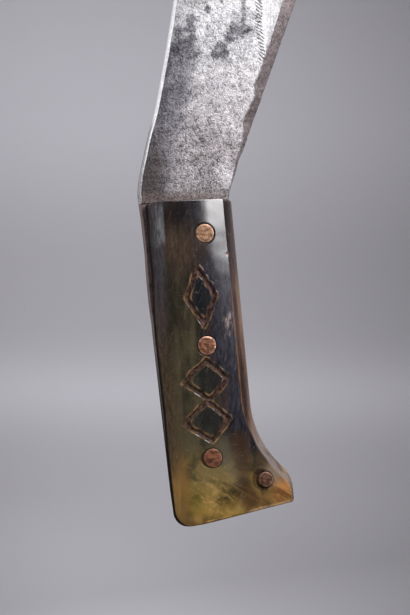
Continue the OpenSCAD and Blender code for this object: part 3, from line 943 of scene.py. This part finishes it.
def horn_face(f, colour, fibres, cloud, fine):
    """Zones of the front face: olive in the middle, blue-black on the right, honey at the butt."""
    x, z = f.x, f.z
    bent = x + (cloud - 0.5) * 8 + z * 0.1
    olive = bent.fall(-3.5, 2.5) * (z + (cloud - 0.5) * 40).step(18, 46, 1.0, 0.25)
    blue = bent.step(1.5, 6.5) * z.step(34, 46, 1.0, 0.5) * z.step(-36, -26)
    butt = (z + x * 0.22 + (cloud - 0.5) * 12).fall(-50, -35)
    swirl = f.noise(0.09, 3.0, 0.5, 1.2, at=f.stretch(x=0.7, turn=-35))
    streaks = f.noise(0.4, 3.0, 0.55, 0.8, at=f.stretch(z=0.22, turn=-55))
    honey = f.paint(
        f.blend(swirl.step(0.38, 0.62), "382e16", "7a6234"),
        (streaks.step(0.5, 0.7) * 0.45, "967842"),
        (streaks.fall(0.2, 0.5) * 0.2, "3e2e18"),
    )
    layers = (x * 0.42 + z * 0.9 + (swirl - 0.5) * 26 + (fine - 0.5) * 4) / 4.6
    ripple = ((f.math_of("FRACT", layers) - 0.5) / 0.16).bell() * streaks.step(0.4, 0.62)
    # Painted reflection: lavender grey continuing the key highlight lower down the finger side
    painted_reflection = f.blend(fine.step(0.3, 0.7), "605c66", "7c7780")
    beak = f.blend(streaks.step(0.35, 0.62), "62381e", "a87442")
    golden = ripple * (fine.step(0.35, 0.6) * f.spot(-4, -55, 8, 8, 0.9, 1.8))
    return f.paint(
        colour,
        (olive * 0.85, (fibres * 0.4 + cloud * 0.6).step(0.38, 0.62), "26231b", "4a4330"),
        (blue * 0.7, fine.step(0.35, 0.7), "11131b", "343642"),
        (f.spot(-4.5, 44, 8, 9, 0.9, 1.4) * 0.7, fine.step(0.2, 0.8), "281d18", "544436"),
        (f.spot(-8, 58, 6, 5, 0.9, 1.0) * 0.7, "181212"),
        (f.spot(15.5, 17, 6.5, 17, 0.9, 1.4) * 0.26, painted_reflection),
        (butt * 0.95, honey),
        # Patches at the butt
        (f.spot(-3, -47, 11, 6, 0.9, 1.8) * 0.5, "54503a"),
        (f.stroke(2.0, -37, 6.5, -50, 3.6, 0.9, 3.5) * 0.4, "625c4c"),
        (f.stroke(8.5, -36, 10.0, -60, 3.6, 0.8, 3.0) * 0.7, "3a2818"),
        (f.spot(-13.0, -58.5, 4.2, 6.5, 0.8, 1.6) * 0.6, "42421a"),
        (f.spot(-4, -63, 9, 3.2, 0.9, 1.8, 6) * 0.6, "92743a"),
        (f.spot(-16.5, -50, 2.6, 9, 0.9, 1.4) * 0.6, "7e5832"),
        (golden * 0.5, "aa8e54"),
        # The beak, with a grey painted sheen on its top
        (f.spot(17, -61, 9, 2.6, 0.8, 1.6, 6) * 0.55, "462c1a"),
        (f.spot(25, -57, 4.6, 5.0, 0.9, 1.6) * 0.8, beak),
        # Painted sheen: grey on the top of the beak
        (f.spot(23, -49.5, 6.0, 3.6, 0.9, 1.6, -30) * 0.75, "7a6c60"),
        # Chip, a painted glow line where light shines through the horn's thin edge, and worn patch on the
        # finger side
        (f.spot(*CHIP, 1.0, 0.8, 0.5, 1.6) * 0.8, "82604e"),
        # Painted glow: orange line where light shines through the horn's thin edge
        (f.stroke(17.6, 18, 16.0, -9, 0.6, 0.6, 0.6) * 0.8, "b0783e"),
        (f.spot(9.9, 11.4, 1.9, 3.4, 0.9, 3.4, 12) * fine.step(0.46, 0.62) * 0.62, "aa968c"),
    )


def horn_sides(f, colour, fibres, fine):
    """Brown wall, with painted shade near the top, and worn rims on the finger side and the butt; at the
    back a border with a painted bluish sheen, a wall painted near black as shade, and painted shadow along
    the foot all round.
    """
    x, z = f.x, f.z
    inset, edge, height = [f.mark(k) for k in ("inset", "edge", "height")]
    lines, grain = fibres.step(0.35, 0.65), fine.step(0.25, 0.75)
    right, left = x.step(8, 11), x.fall(-12, -8)
    inner = (inset + f.ragged * 2).step(-4.9, -2.9) * z.step(20, 31, 0.66, 0.3) * z.step(-32, -26)
    brown = f.paint(
        f.blend(lines, "3e322d", "7a6356"),
        # Painted shade: the chamfer turns dark grey near the top
        (z.step(22, 42), lines, "302b2c", "544c4e"),
        (f.spot(13, -17, 6, 9, 0.8) * 0.12, "241e1d"),
        (inner, "261a17"),
        (z.fall(-44, -26), lines, "46403f", "807672"),
    )
    face_rim = (1 - abs(inset + 0.1) / 0.5 + f.ragged * 2.4).clamp() * x.step(9, 12)
    face_rim = face_rim * z.step(16, 30, 1.0, 0.25) * z.step(-34, -20)
    butt_rim = (0.7 - abs(edge - 0.7) / 0.6 + f.ragged * 5.0).clamp() * z.fall(-50, -42)
    warm = f.paint(
        f.blend(grain, "362c23", "5e4d3a"),
        (z.fall(-52, -40), fibres.step(0.3, 0.7), "684e2e", "907042"),
    )
    painted_sheen = f.blend(grain, "2e2a2d", "4e494e")
    lower = height.fall(0.5, 1.3) * left * z.step(-8, 14)
    return f.paint(
        colour,
        (inset.fall(-1.2, -0.2) * right * 0.9, brown),
        (edge.step(0.2, 1.6, 0.45, 0.0) * right, "80726a"),
        (face_rim * 0.55, "96683c"),
        (butt_rim * 0.65, fibres.step(0.4, 0.6), "764c24", "b08a54"),
        # Painted sheen: the back's border is bluish grey up the grip and warm brown lower down
        (edge.fall(1.5, 6.0) * left * 0.8, f.blend(z.step(-10, 40), warm, painted_sheen)),
        # Painted shade: the back's wall near black
        (height.fall(3.2, 4.4) * left, fine.step(0.4, 0.6), "070506", "1a1413"),
        # Painted shadow along the foot of the scale, where it meets the tang
        (height.fall(0.3, 1.3), "080707"),
        (lower, fine.step(0.3, 0.7), "322a29", "544a48"),
    )


def horn_carving(f, colour, fine, spots):
    """Dark fields inside the lozenges, brown grooves with raised lips painted light as a highlight, and
    painted shade in the gaps round the rivets and in the beak's hollow.
    """
    lip = (f.mark("burr") * fine.step(0.36, 0.58)).clamp()
    return f.paint(
        colour,
        (f.mark("island") * 0.6, "16191c"),
        (f.mark("groove").step(0.05, 0.5) * 0.8, spots.step(0.4, 0.6), "2a1c1a", "58423a"),
        # Painted highlight along the raised lips beside the grooves
        (lip * 0.75, "987650"),
        # Painted shade in the gaps round the rivets and in the worn hollow by the beak's rivet
        (f.mark("hollow").step(0.92, 1.0) * 0.6, "1a120e"),
    )


def lost_polish(f, worn, fibres, fine):
    """Adds the front scale's dull places: carving, rivets, back, and the rim of the finger side."""
    inset, edge = f.mark("inset"), f.mark("edge")
    sheen = ((edge - 4.0) / 2.6).bell() * f.z.step(24, 50)
    sheen = sheen * (fibres * 0.5 + fine * 0.5).step(0.36, 0.6, 0.2, 0.95)
    worn = worn + (f.mark("groove") * 4.0).clamp() * 0.85 + f.mark("hollow")
    worn = worn + (f.mark("burr") * 5.0).clamp() * 0.95
    worn = worn + edge.step(7.5, 10.5, 0.97, 0.0) * f.x.fall(-9, -5) * (1 - sheen)
    return worn + (inset / 0.5).bell() * f.x.step(8, 12) * f.z.step(-26, -14, 0.8, 0.0)


def horn(name, front):
    """Polished buffalo horn with fibres, fine grain and scratches. The back scale is plain and dark."""
    f = Finish(name, coat_roughness=0.12, coat_ior=2.4, specular_ior_level=0.01, ior=1.54)
    fibres = f.noise(0.2, 5.0, 0.62, 0.4, at=f.stretch(z=0.14, turn=5))
    cloud = f.noise(0.07, 4.0, 0.55, 0.8, at=f.stretch(z=0.5, turn=5))
    fine = f.noise(0.9, 5.0, 0.7, at=f.stretch(z=0.25, turn=5))
    spots = f.noise(0.8, 3.0, 0.6)
    colour = f.blend(fibres.step(0.4, 0.62), "111217", "342a27")
    colour = f.blend(fine.step(0.5, 0.75) * 0.5, colour, "423a36")
    if front:
        colour = horn_face(f, colour, fibres, cloud, fine)
        colour = horn_sides(f, colour, fibres, fine)
        colour = horn_carving(f, colour, fine, spots)
    else:
        colour = f.blend(cloud.step(0.45, 0.7) * 0.5, colour, "2c261e")
    scratch = f.noise(0.9, 2.0, 0.5, 1.2, at=f.stretch(x=2.6, z=0.12, turn=28)).step(0.66, 0.71)
    cuts = f.noise(0.9, 2.0, 0.5, 1.2, at=f.stretch(x=0.2, z=2.2, turn=15)).step(0.67, 0.72)
    nicks = spots.step(0.66, 0.72)
    colour = f.blend(scratch * 0.14 + cuts * 0.1 + nicks * 0.16, colour, "a09488")
    rough = 0.42 + fine * 0.12 + scratch * 0.1 + nicks * 0.15
    height = fine * 0.012 + fibres * 0.03 + cloud * 0.1 - scratch * 0.006 - cuts * 0.005 - nicks * 0.01
    worn = f.mark("height").fall(2.6, 4.5)
    if front:
        height = height + (fibres * 0.16 + fine * 0.04) * f.x.fall(-10, -4)
        worn = lost_polish(f, worn, fibres, fine)
    weight = (0.97 - worn).clamp() * f.z.step(43.5, 50, 0.5)
    return f.wear(base_color=colour, roughness=rough, coat_weight=weight, normal=f.bump(height, 0.9))


def old_copper():
    """Dull brown copper, peened, with rims painted bright as a highlight on their lit side, and painted
    shade in the gap at each head's edge. The heads get browner towards the beak.
    """
    f = Finish("old_copper")
    rim, lit = f.mark("rim"), f.mark("lit")
    mottle, grain = f.noise(0.6, 4.0, 0.6), f.noise(2.6, 3.0, 0.6)
    front = f.z.step(20, 40)
    beak = f.z.fall(-49, -45)
    rear = f.z.fall(-30, -20) * (1 - beak)
    low = f.paint("4e2f1f", (front, "6a4f39"), (beak, "362014"), (rear, "442516"))
    high = f.paint("7c4e33", (front, "9e795b"), (beak, "5e3a26"), (rear, "724126"))
    # Painted highlight: the rim is lighter on the side that the lit mark points to, broken by mottling
    bright = rim.step(0.74, 0.93) * (lit + (mottle - 0.5)).step(-0.5, 0.6, 0.2)
    bright = bright * (1 - beak * 0.6 - rear * 0.8)
    # Painted shade in the gap at the head's edge
    gap = rim.step(0.985, 1.0)
    colour = f.paint(
        f.blend(mottle.step(0.35, 0.65), low, high),
        (bright * 0.9, "ba927c"),
        (gap, "1e1410"),
        (grain.step(0.56, 0.72) * 0.5, "462a20"),
    )
    rough = mix(0.5, 0.36, bright) + grain * 0.1
    metal = 0.45 - gap * 0.4 + bright * 0.3
    height = grain * 0.04 + mottle * 0.08
    return f.wear(base_color=colour, roughness=rough, metallic=metal, normal=f.bump(height))


# ---- the pieces

copper = old_copper()
make_blade(old_steel())
make_scale("right_scale", horn("horn_right", True), front_relief, -1)
make_scale("left_scale", horn("horn_left", False), back_relief, 1)
for node, seed in (("front_rivet", 51), ("middle_rivet", 54), ("rear_rivet", 57)):
    make_rivet(node, copper, seed)
make_rivet("beak_rivet", copper, 60, radius=3.1, sunk=0.4)

# ---- studio, in metres

FLOOR_Z = -0.22
AIM = np.array([0.0, 0.0, 0.06])
FOCAL_PX, PHOTO_H, SENSOR = 2943.0, 615.0, 36.0
COOL_WHITE = (1.0, 0.985, 0.995)
# Name, azimuth, elevation, distance, width, height, watts and colour of each light
LIGHTS = (
    ("key", 36, 29.6, 1.3, 0.8, 1.15, 22, COOL_WHITE),
    ("skirt", 36, 5.1, 1.42, 0.85, 0.034, 0.13, COOL_WHITE),
    ("left", -48, 28, 1.3, 0.8, 1.1, 2.6, (0.9, 0.94, 1.0)),
    ("fill", -78, 20, 1.3, 0.8, 1.0, 1.6, (0.95, 0.97, 1.0)),
    ("back_key", 226, 24, 1.3, 0.8, 1.0, 9, (1.0, 0.985, 0.98)),
    ("back", 165, 48, 1.4, 0.7, 0.9, 12, (1.0, 1.0, 1.0)),
)


def studio_paper():
    """Matt paper, with the photograph's falloff on the part of the wall that its camera faces."""
    f = Finish("studio_paper", roughness=1.0, specular_ior_level=0.0)
    turn = f.math_of("ARCTAN2", f.x, f.y) * (180 / pi)
    radius = f.math_of("SQRT", f.x * f.x + f.y * f.y)
    own = abs(turn - 12.5).fall(9, 22) * radius.step(1300, 2500)
    falloff = 0.48 + own * (((turn - 11.8) / 8.3).bell() * 0.7 - 0.18)
    rise = f.z * 0.001 + (turn - 14.2) * own * 0.0134
    upper = rise.step(0.46, 0.88) * 0.31 - rise.step(0.95, 1.3) * 0.12
    foot_glow = rise.fall(-0.2, -0.05) * turn.step(9, 15, 0.1, -0.08)
    shade = falloff * (1 + own * (upper + ((rise - 0.167) / 0.095).bell() * 0.26 + foot_glow)) * 0.71
    return f.wear(base_color=f.blend(shade.clamp(), "000000", "f6f4f9"))


def backdrop():
    """Round studio floor whose rim curves up into a wall: a profile turned about the upright axis."""
    a = np.linspace(0, 2 * pi, 129)[:-1]
    bend = np.linspace(0, pi / 2, 17)
    r = np.concatenate([[0.01, 1.0, 2.5], 4.4 + 1.8 * np.sin(bend), [6.2]])
    h = np.concatenate([[0, 0, 0], 1.8 - 1.8 * np.cos(bend), [5.0]]) + FLOOR_Z
    rr, aa = np.meshgrid(r, a, indexing="ij")
    points = np.stack([rr * np.cos(aa), rr * np.sin(aa), np.repeat(h[:, None], len(a), 1)], -1)
    faces = list(quads(len(r), len(a), wrap=True)[:, ::-1]) + [np.arange(len(a))]
    floor = add_mesh("studio_floor", points.reshape(-1, 3), faces, studio_paper())
    floor.visible_glossy = False


def softbox(name, azimuth, elevation, distance, width, height, watts, colour):
    """Rectangular studio light at an angle round the part, turned to face it."""
    light = bpy.data.lights.new(name, "AREA")
    light.shape, light.size, light.size_y = "RECTANGLE", width, height
    light.energy, light.color = watts, colour
    lamp = add_object(name, light)
    a, e = radians(azimuth), radians(elevation)
    lamp.location = AIM + distance * np.array([sin(a) * cos(e), -cos(a) * cos(e), sin(e)])
    lamp.rotation_euler = (pi / 2 - e, 0, a)
    lamp.visible_camera = False


def camera():
    """The photograph's view: 14 degrees to the spine's side, a little from below, turned by 7 degrees."""
    data = bpy.data.cameras.new("camera")
    data.sensor_width, data.lens = SENSOR, SENSOR * FOCAL_PX / PHOTO_H
    data.clip_start, data.clip_end = 0.01, 50.0
    eye = add_object("camera", data)
    forward = np.array([0.23732, 0.9694, 0.06273])
    right = np.array([0.96586, -0.22856, -0.12199])
    up = np.array([0.10392, -0.08954, 0.99055])
    turn = Matrix((right, up, -forward)).transposed().to_4x4()
    eye.matrix_world = Matrix.Translation((-0.28049, -1.16328, -0.05546)) @ turn
    scene.camera = eye


def sky():
    """Even light from all round, which polished surfaces don't mirror."""
    world = bpy.data.worlds.new("studio")
    world.use_nodes = True
    background = world.node_tree.nodes["Background"]
    background.inputs["Color"].default_value = (0.97, 0.97, 1.0, 1)
    background.inputs["Strength"].default_value = 1.0
    world.cycles_visibility.glossy = False
    scene.world = world


backdrop()
camera()
for light in LIGHTS:
    softbox(*light)
sky()
scene.view_settings.view_transform = "Standard"
